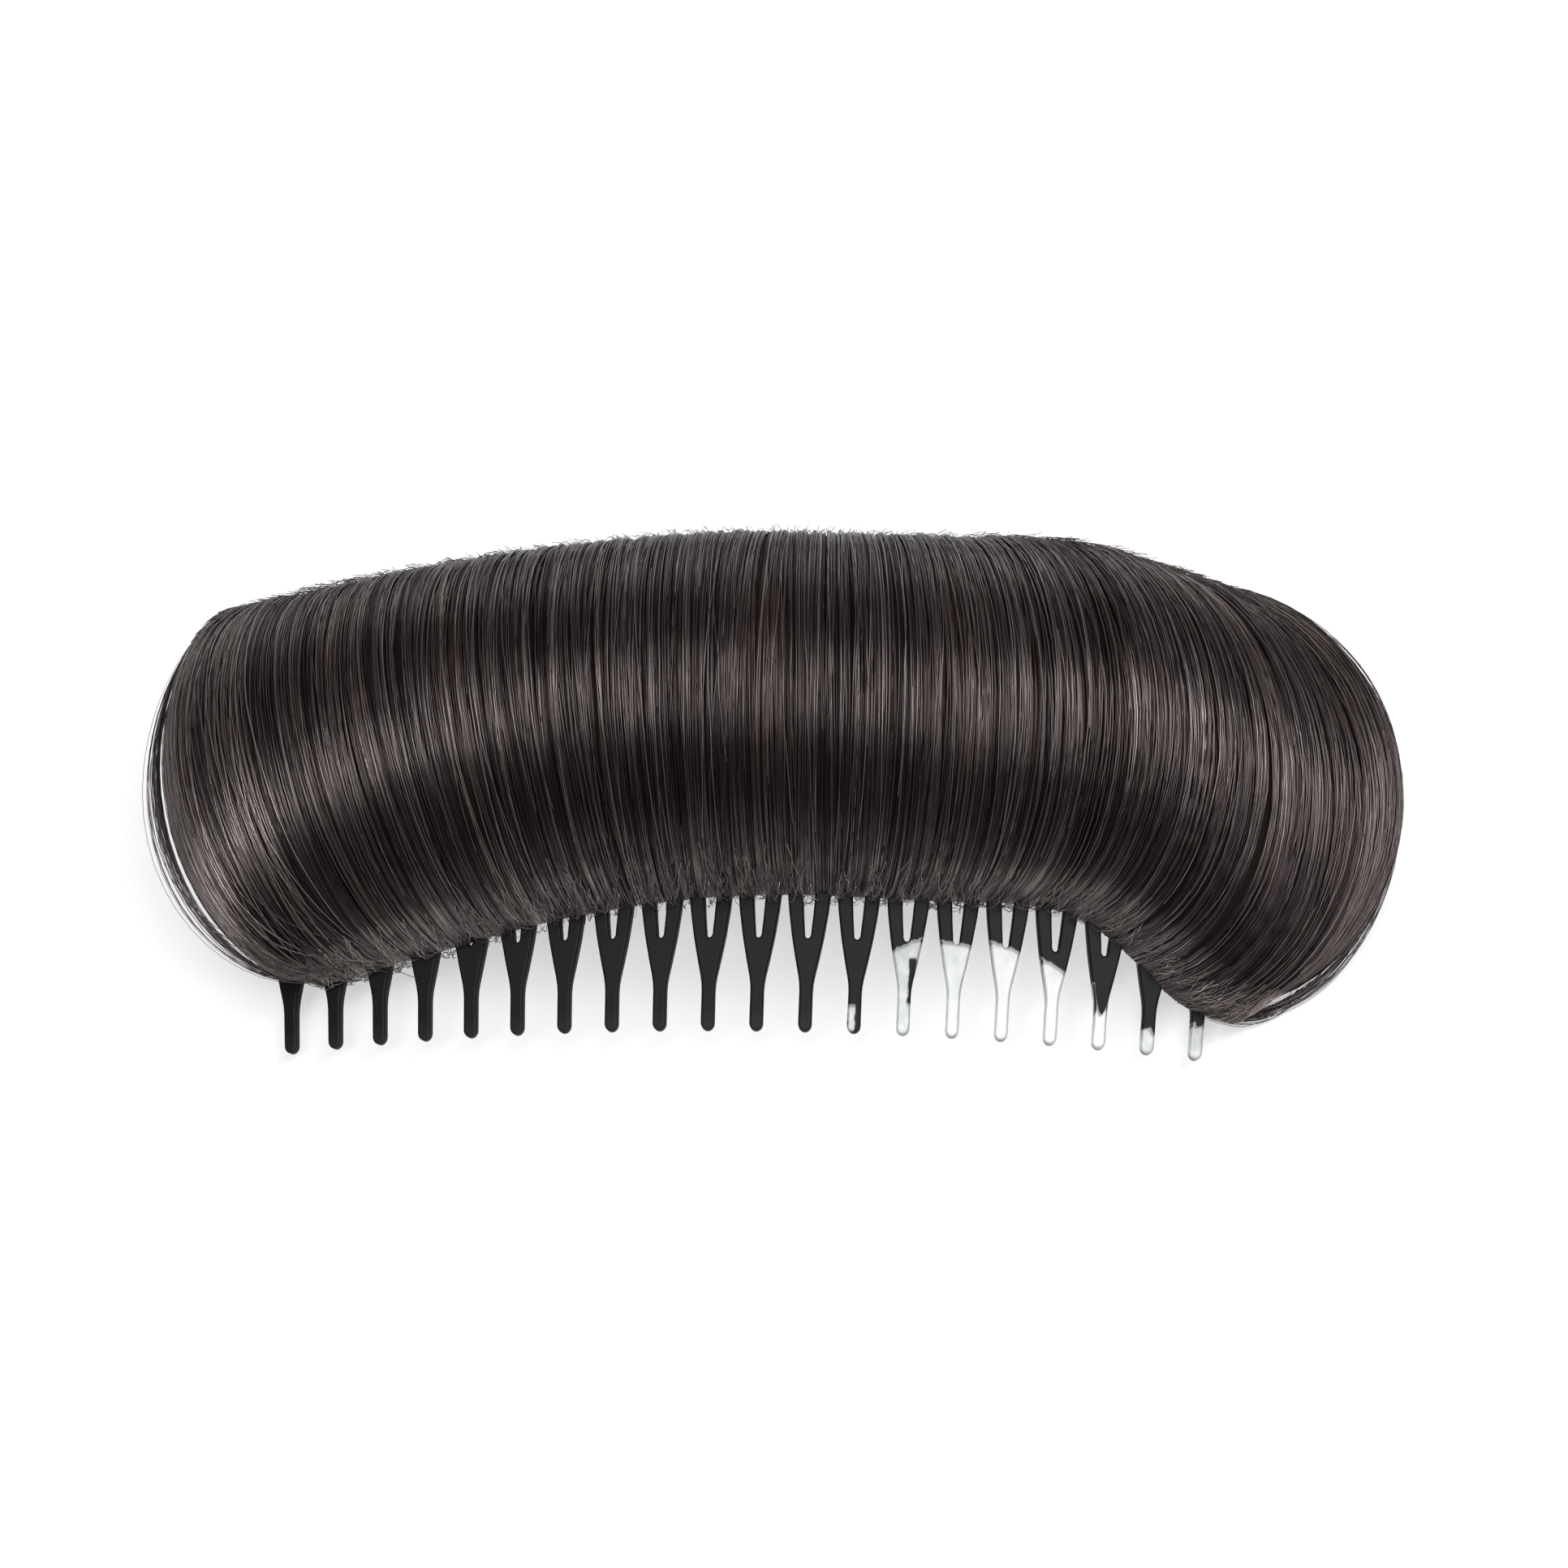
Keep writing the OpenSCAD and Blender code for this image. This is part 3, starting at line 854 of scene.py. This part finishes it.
# Loose hair over the coat: places on the round, lengths in millimetres, angles along the lock in
# degrees. A hair's place on the round changes by cross along it, mostly near its end where bend is
# high. It starts root over its lock's path and leans by slant. Its end sweeps to one side, and it
# stands highest at its peak or at a free end. The powers say how late a sweep comes in and a free end
# rises.
looseShared = {
    "cross": 0.0, "bend": 1.0, "slant": 0.3, "freeEnd": False, "sweep": 0.0, "perLock": 1,
    "spread": 0.1, "rise": 0.2, "wander": 0.3, "waves": 3.0, "ownTone": 0.3, "root": 0.2,
    "sweepPower": 3, "freePower": 1.5, "lowerTone": 1.0, "endTone": 0.0,
}
looseHair = {
    "veil_inner": {
        "places": (3.8, 3.92), "cross": -0.3, "count": 20, "points": 24, "from": (6, 20),
        "to": (166, 178), "lift": (1.3, 2.2), "peak": 105, "width": 70, "tone": (0.1, 0.5),
        "perLock": 2, "spread": 0.11, "rise": 0.12, "wander": 0.15, "waves": 4.0, "radius": 0.045,
    },
    "veil_outer": {
        "places": (3.82, 3.9), "cross": -0.32, "count": 11, "points": 24, "from": (8, 24),
        "to": (160, 178), "lift": (2.3, 4.0), "peak": 108, "width": 60, "tone": (0.1, 0.5),
        "spread": 0.06, "rise": 0.12, "wander": 0.2, "radius": 0.045,
    },
    "veil_cross": {
        "places": (3.78, 3.92), "cross": -0.3, "count": 10, "points": 24, "from": (8, 50),
        "to": (130, 176), "lift": (1.0, 3.4), "peak": 105, "width": 55, "slant": 1.6,
        "tone": (0.1, 0.7), "rise": 0.15, "waves": 4.0, "radius": 0.042,
    },
    "wisps_left": {
        "places": (3.42, 4.15), "count": 110, "points": 22, "from": (4, 60), "to": (150, 178),
        "lift": (0.3, 0.8), "peak": 100, "width": 60, "slant": 2.5, "sweep": 2.0, "tone": (0.9, 1.5),
        "radius": 0.055, "ownTone": 0.2,
    },
    "fringe_right": {
        "places": (1.46, 1.7), "cross": 0.58, "bend": 2.0, "count": 44, "points": 26, "from": (85, 135),
        "to": (168, 178), "lift": (0.1, 1.6), "peak": 156, "width": 38, "slant": 2.2,
        "tone": (0.2, 1.0), "spread": 0.12, "wander": 0.4, "waves": 6.0, "radius": 0.042,
    },
    "fringe_low": {
        "places": (1.76, 1.96), "cross": 0.27, "bend": 1.3, "count": 34, "points": 18,
        "from": (138, 158), "to": (172, 179), "lift": (0.3, 1.7), "peak": 168, "width": 22,
        "slant": 1.0, "tone": (0.3, 1.0), "spread": 0.12, "wander": 0.4, "waves": 6.0, "radius": 0.042,
    },
    "loose_over": {
        "places": (-0.1, 1.35), "count": 330, "points": 22, "from": (4, 60), "to": (110, 176),
        "lift": (0.5, 0.9), "peak": 60, "width": 70, "slant": 1.2, "tone": (0.7, 1.2), "rise": 0.15,
        "radius": 0.055, "ownTone": 0.2,
    },
    "top_fuzz": {
        "places": (-0.2, 1.2), "count": 1100, "points": 7, "from": (0, 12), "to": (14, 34),
        "lift": (0.0, 0.8), "peak": 19, "width": 15, "slant": 0.5, "freeEnd": True, "tone": (0.7, 1.0),
        "rise": 0.1, "wander": 0.08, "waves": 2.0, "radius": 0.035,
    },
    # Their tone is high: a stronger gloss, and a lighter colour as a painted highlight where the ends
    # catch light
    "front_frizz": {
        "places": (-0.05, 1.2), "count": 600, "points": 14, "from": (154, 170), "to": (176, 180),
        "lift": (0.1, 1.4), "peak": 174, "width": 8, "slant": 1.0, "tone": (1.4, 2.4), "wander": 0.4,
        "waves": 5.0, "radius": 0.05, "ownTone": 0.2,
    },
    "under_frizz": {
        "places": (2.1, 3.05), "count": 260, "points": 14, "from": (148, 166), "to": (174, 180),
        "lift": (0.1, 0.8), "peak": 170, "width": 9, "slant": 0.8, "tone": (0.5, 1.2), "wander": 0.4,
        "waves": 5.0, "radius": 0.048, "ownTone": 0.2,
    },
    "low_strays": {
        "places": (-0.25, 0.12), "count": 30, "points": 22, "from": (80, 105), "to": (165, 178),
        "lift": (0.6, 2.0), "peak": 160, "width": 25, "slant": 0.5, "sweep": 12.0, "tone": (0.3, 0.8),
        "rise": 0.15, "radius": 0.05,
    },
    "front_loops": {
        "places": (0.28, 0.66), "count": 60, "points": 18, "from": (148, 160), "to": (175, 180),
        "lift": (0.8, 2.6), "peak": 173, "width": 9, "slant": 1.6, "tone": (0.5, 1.6), "wander": 0.5,
        "waves": 5.0, "radius": 0.045, "ownTone": 0.2,
    },
}


def looseGuides(form, seed):
    # Single hairs that leave the surface and come back to it, or stay up at a free end
    chance = np.random.default_rng(seed)
    count, steps = form["count"], form["points"]
    t = np.linspace(0, 1, steps)[None]

    def each(low, high):
        return chance.uniform(low, high, (count, 1))

    q = each(*form["from"]) * (1 - t) + each(*form["to"]) * t
    s = each(*form["places"]) + form["cross"] * t ** form["bend"]
    fields = lockFrames(s.ravel(), q.reshape(-1, 1))
    points, across, outward = (field.reshape(count, steps, 3) for field in fields)
    across = across / np.maximum(np.linalg.norm(across, axis=-1, keepdims=True), 1e-9)
    hump = np.exp(-((q - form["peak"]) / form["width"]) ** 2) * np.sqrt(np.sin(math.pi * t).clip(0))
    if form["freeEnd"]:
        hump = t ** form["freePower"]
    lift = form["root"] + each(*form["lift"]) * hump
    shift = each(-1, 1) * form["slant"] * (2 * t - 1)
    shift = shift + each(0, 1) * form["sweep"] * t ** form["sweepPower"]
    points = points + across * shift[..., None] + outward * lift[..., None]
    level = np.ones_like(q)
    return points, {"across": across, "outward": outward, "lockTone": each(*form["tone"]) * level,
                    "lockTint": each(0, 1) * level, "lockShade": level}


def makeLooseHair():
    for number, (name, row) in enumerate(looseHair.items()):
        form = {**looseShared, **row}
        paths, fields = looseGuides(form, 201 + number)
        growPiece(name, paths, fields, {**form, "lift": form["rise"]}, 301 + 20 * number)


makeLooseHair()
print("loose hair laid")


# The comb

combLook = {
    "black": (0.0034, 0.0039, 0.0048),
    "tips": (0.009, 0.0105, 0.012),
    "tipsFrom": 0.75,                # of the tip's length, where black starts to turn lighter
    "clearPlastic": (0.68, 0.69, 0.685),
    "cloudy": (0.45, 0.49, 0.47),
    "clearRim": (0.37, 0.38, 0.39),
    "rimAtTip": (0.9, 0.1, 0.7),     # from and to, before the tip's end, and how much of the painted rim's grey there: painted shade where refraction darkens the round tip
    "roughness": (0.55, 0.3),        # black, clear
    "surface": {"IOR": 1.49, "Specular IOR Level": 0.12},
    # Patches: their scale, against that how long they are, and how far apart the teeth's patches are
    "patches": (1.1, 0.6, 7.3),
    "bowMost": 0.9,                  # how far off the middle a bowed line goes on bending, squared
    "raggedness": 2.0,
    "lineBlur": (-0.2, 0.25),        # before and after the line where plastic turns clear
    "streakWear": 0.7,               # how ragged a streak's sides are
    "streakSides": (-0.05, 0.2),
    "streakEnds": (-0.2, 0.3),
    "cloud": (4.0, 1.2),             # how strong a tooth's clouds are, and how sparse
}


def combMaterial():
    # Black plastic that gives way to clear plastic, where each tooth's own attributes say
    look = combLook
    material, tree, make, shader = newMaterial("combPlastic", look["surface"])
    number, plus, minus, times = sums(make)
    point, noise, smooth = fieldForms(make)

    def given(name):
        return make("ShaderNodeAttribute", attribute_name=name).outputs["Fac"]

    along, across = given("alongTooth"), given("acrossTooth")
    scale, length, step = look["patches"]
    spot = point(across, times(along, length), times(given("toothNumber"), step))
    patches = noise(spot, scale, 3.0)
    uneven = minus(patches, 0.5)

    # Past the line where the plastic turns clear
    offMiddle = number("MINIMUM", times(across, across), look["bowMost"])
    bowed = times(given("bow"), offMiddle)
    bent = plus(bowed, times(given("lean"), across))
    ragged = times(uneven, times(given("patchy"), look["raggedness"]))
    past = plus(minus(minus(along, given("clearFrom")), bent), ragged)

    # In the streak, where the plastic is the other one
    offStreak = number("ABSOLUTE", minus(across, given("streakAcross")))
    worn = times(uneven, look["streakWear"])
    inside = plus(minus(given("streakHalf"), offStreak), worn)
    started = smooth(minus(along, given("streakFrom")), *look["streakEnds"])
    unended = smooth(minus(given("streakTo"), along), *look["streakEnds"])
    inWidth = smooth(inside, *look["streakSides"])
    streak = times(inWidth, number("MINIMUM", started, unended))
    clear = number("ABSOLUTE", minus(smooth(past, *look["lineBlur"]), streak))

    dark = colourRamp(make, number("DIVIDE", along, combForm["tipLength"]),
                      ((look["tipsFrom"], look["black"]), (1.0, look["tips"])))
    strong, sparse = look["cloud"]
    clouds = minus(times(patches, strong), sparse)
    cloud = times(given("cloudiness"), clouds)
    glass = colourRamp(make, cloud, ((0.0, look["clearPlastic"]), (1.0, look["cloudy"])))
    # Grey painted on the clear plastic's edges and round tips stands in for the dark rims that refraction
    # gives
    before, last, most = look["rimAtTip"]
    atTip = smooth(along, combForm["tipLength"] - before, combForm["tipLength"] - last)
    rim = number("MAXIMUM", given("rim"), times(atTip, most))
    rimmed = mixedColour(make, rim, glass, (*look["clearRim"], 1))
    tree.links.new(mixedColour(make, clear, dark, rimmed), shader.inputs["Base Color"])
    black, glassy = look["roughness"]
    rough = make("ShaderNodeMapRange", {"Value": clear, "To Min": black, "To Max": glassy}).outputs[0]
    tree.links.new(rough, shader.inputs["Roughness"])
    tree.links.new(clear, shader.inputs["Transmission Weight"])
    return material


def toothMesh():
    # A flat tooth with its slot, its slot's end at the origin and its tip along -Y
    form = combForm
    data = bpy.data.curves.new("toothOutline", "CURVE")
    data.dimensions = "2D"
    data.fill_mode = "BOTH"
    data.extrude = (form["thickness"] / 2 - form["edge"]) * mm
    data.bevel_depth = form["edge"] * mm
    data.bevel_resolution = 2
    data.offset = -form["edge"] * mm

    def loop(points):
        spline = data.splines.new("POLY")
        spline.points.add(len(points) - 1)
        for place, (x, y) in zip(spline.points, points):
            place.co = (x * mm, y * mm, 0, 1)
        spline.use_cyclic_u = True

    def mirrored(half):
        return half + [(-x, y) for x, y in reversed(half)]

    def roundEnd(width, y, length):
        # Half of a round end, from its side to its point
        angles = np.linspace(0, math.pi / 2, 7)
        return [(width / 2 * math.cos(a), y - length * math.sin(a)) for a in angles]

    tipRound, slotRound = form["tipRound"], form["slotRound"]
    side = [(width / 2, -past) for past, width in form["toothWidths"]]
    loop(mirrored(side + roundEnd(form["tipWidth"], tipRound - form["tipLength"], tipRound)))
    slot = [(width / 2, -past) for past, width in form["slotWidths"]]
    loop(mirrored(slot + roundEnd(form["slotWidths"][-1][1], slotRound, slotRound)[1:]))
    outline = bpy.data.objects.new("toothOutline", data)
    bpy.context.scene.collection.objects.link(outline)
    graph = bpy.context.evaluated_depsgraph_get()
    mesh = bpy.data.meshes.new_from_object(outline.evaluated_get(graph))
    bpy.data.objects.remove(outline)
    mesh.materials.clear()
    flat = form["thickness"] / 2
    # Painted shade on the clear teeth's edges: 1 along a tooth's side, 0 on its faces
    setField(mesh, "rim", [min((1 - abs(vertex.co.z) / mm / flat) / form["rimShare"], 1)
                           for vertex in mesh.vertices])
    thin = form["tipThickness"] / form["thickness"]
    for vertex in mesh.vertices:
        toTip = min(max(-vertex.co.y / mm / form["tipLength"], 0), 1)
        vertex.co.z *= 1 + (thin - 1) * toTip
    builder = bmesh.new()
    builder.from_mesh(mesh)
    bmesh.ops.remove_doubles(builder, verts=builder.verts, dist=1e-7)
    closeMesh(builder, mesh)
    setField(mesh, "alongTooth", [-vertex.co.y / mm for vertex in mesh.vertices])
    setField(mesh, "acrossTooth", [vertex.co.x / mm for vertex in mesh.vertices])
    return mesh


def setCombTree():
    tree = newGeometryTree("setComb", {
        "Teeth": 20,
        "Pitch": 0.00586,
        "Arch radius": 0.243,
        "Slope": 0.33,
        "Forward": 0.0263,
        "Height": 0.0131,
        "Middle X": 0.0,
        "Middle Y": 0.0,
        "Material": None,
    })
    make = nodeMaker(tree)
    number, plus, minus, times = sums(make)
    point, _, _ = fieldForms(make)
    given = make("NodeGroupInput").outputs
    index = make("GeometryNodeInputIndex").outputs[0]
    steps = minus(index, times(minus(given["Teeth"], 1.0), 0.5))
    angle = number("DIVIDE", times(steps, given["Pitch"]), given["Arch radius"])
    sideways = times(given["Arch radius"], number("SINE", angle))
    upright = times(given["Arch radius"], number("COSINE", angle))
    drop = minus(upright, given["Arch radius"])
    backward = times(given["Forward"], -1.0)
    place = point(minus(sideways, given["Middle X"]),
                  minus(backward, given["Middle Y"]), plus(drop, given["Height"]))
    row = make("GeometryNodePoints", {"Count": given["Teeth"], "Position": place}).outputs[0]
    numbered = make("GeometryNodeStoreNamedAttribute", {"Geometry": row, "Name": "toothNumber",
                                                        "Value": plus(index, 1.0)},
                    domain="POINT", data_type="FLOAT").outputs[0]

    def rotation(axis, turn):
        return make("FunctionNodeAxisAngleToRotation", {"Axis": axis, "Angle": turn}).outputs[0]

    sloped, arched = rotation((1, 0, 0), given["Slope"]), rotation((0, 1, 0), angle)
    turned = make("FunctionNodeRotateRotation", {"Rotation": sloped, "Rotate By": arched}).outputs[0]
    teeth = make("GeometryNodeInstanceOnPoints", {"Points": numbered, "Instance": given["Geometry"],
                                                  "Rotation": turned}).outputs[0]
    whole = make("GeometryNodeRealizeInstances", {"Geometry": teeth}).outputs[0]
    dressed = make("GeometryNodeSetMaterial", {"Geometry": whole,
                                               "Material": given["Material"]}).outputs[0]
    make("NodeGroupOutput", {"Geometry": dressed})
    return tree


def addBar(piece):
    # The bar that joins the legs, far inside the hair
    form = combForm
    bar = archedStrip("bar", -form["barFrom"] - form["barWidth"], -form["barFrom"], form["thickness"])
    builder = bmesh.new()
    builder.from_mesh(piece.data)
    toothFaces = len(builder.faces)
    builder.from_mesh(bar)
    builder.faces.ensure_lookup_table()
    along = builder.verts.layers.float["alongTooth"]
    for face in builder.faces[toothFaces:]:
        for vertex in face.verts:
            vertex[along] = -form["barFrom"]
    builder.to_mesh(piece.data)
    builder.free()
    bpy.data.meshes.remove(bar)


def markClearTeeth(mesh):
    numbers = np.zeros(len(mesh.vertices), np.float32)
    mesh.attributes["toothNumber"].data.foreach_get("value", numbers)
    clear, allBlack = combForm["clear"], combForm["allBlack"]
    rows = np.array([clear.get(int(round(number)), allBlack) for number in numbers], np.float32)
    for column, name in enumerate(combForm["clearColumns"]):
        setField(mesh, name, rows[:, column])


def makeComb():
    form = combForm
    piece = linkedPiece("slotted_comb", toothMesh())
    runGeometryTree(piece, setCombTree(), {
        "Teeth": form["teeth"],
        "Pitch": form["pitch"] * mm,
        "Arch radius": rollForm["archRadius"] * mm,
        "Slope": math.radians(rollForm["toothSlope"]),
        "Forward": rollForm["slotEndForward"] * mm,
        "Height": rollForm["slotEndHeight"] * mm,
        "Middle X": rollForm["middle"][0] * mm,
        "Middle Y": rollForm["middle"][1] * mm,
        "Material": combMaterial(),
    })
    addBar(piece)
    markClearTeeth(piece.data)
    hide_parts("comb")
    finishPiece(piece)


makeComb()
print("comb made")


# Floor and light

studio = {
    "floorSize": 6.0,
    "floor": {"Base Color": (0.37, 0.37, 0.37, 1), "Roughness": 0.9, "Emission Color": (1, 1, 1, 1),
              "Emission Strength": 0.57},
    "worldStrength": 0.2,
    # name: direction azimuth, elevation, distance, length along X, width, watts
    "lights": {
        "overhead": (35.0, 70.0, 0.7, 0.9, 0.13, 8.5),
        "behind": (191.0, 25.0, 0.8, 1.2, 0.5, 3.4),
    },
}


def makeStudio():
    scene = bpy.context.scene
    scene.view_settings.view_transform = "Standard"
    mesh = bpy.data.meshes.new("floor")
    half = studio["floorSize"] / 2
    corners = [(-half, -half, 0), (half, -half, 0), (half, half, 0), (-half, half, 0)]
    mesh.from_pydata(corners, [], [(0, 1, 2, 3)])
    mesh.materials.append(newMaterial("paleFloor", studio["floor"])[0])
    floor = linkedPiece("floor", mesh)
    world = bpy.data.worlds.new("studioWorld")
    world.use_nodes = True
    sky = world.node_tree.nodes["Background"]
    sky.inputs["Color"].default_value = (1, 1, 1, 1)
    sky.inputs["Strength"].default_value = studio["worldStrength"]
    scene.world = world
    target = Vector(photoView["lookAt"]) * mm
    for name, (azimuth, elevation, distance, length, width, watts) in studio["lights"].items():
        a, e = math.radians(azimuth), math.radians(elevation)
        way = Vector((math.sin(a) * math.cos(e), -math.cos(a) * math.cos(e), math.sin(e)))
        data = bpy.data.lights.new(name, "AREA")
        data.shape = "RECTANGLE"
        data.size = length
        data.size_y = width
        data.energy = watts
        lamp = bpy.data.objects.new(name, data)
        scene.collection.objects.link(lamp)
        lamp.location = target + way * distance
        lamp.rotation_euler = way.to_track_quat("Z", "Y").to_euler()


makeStudio()
print("studio set")
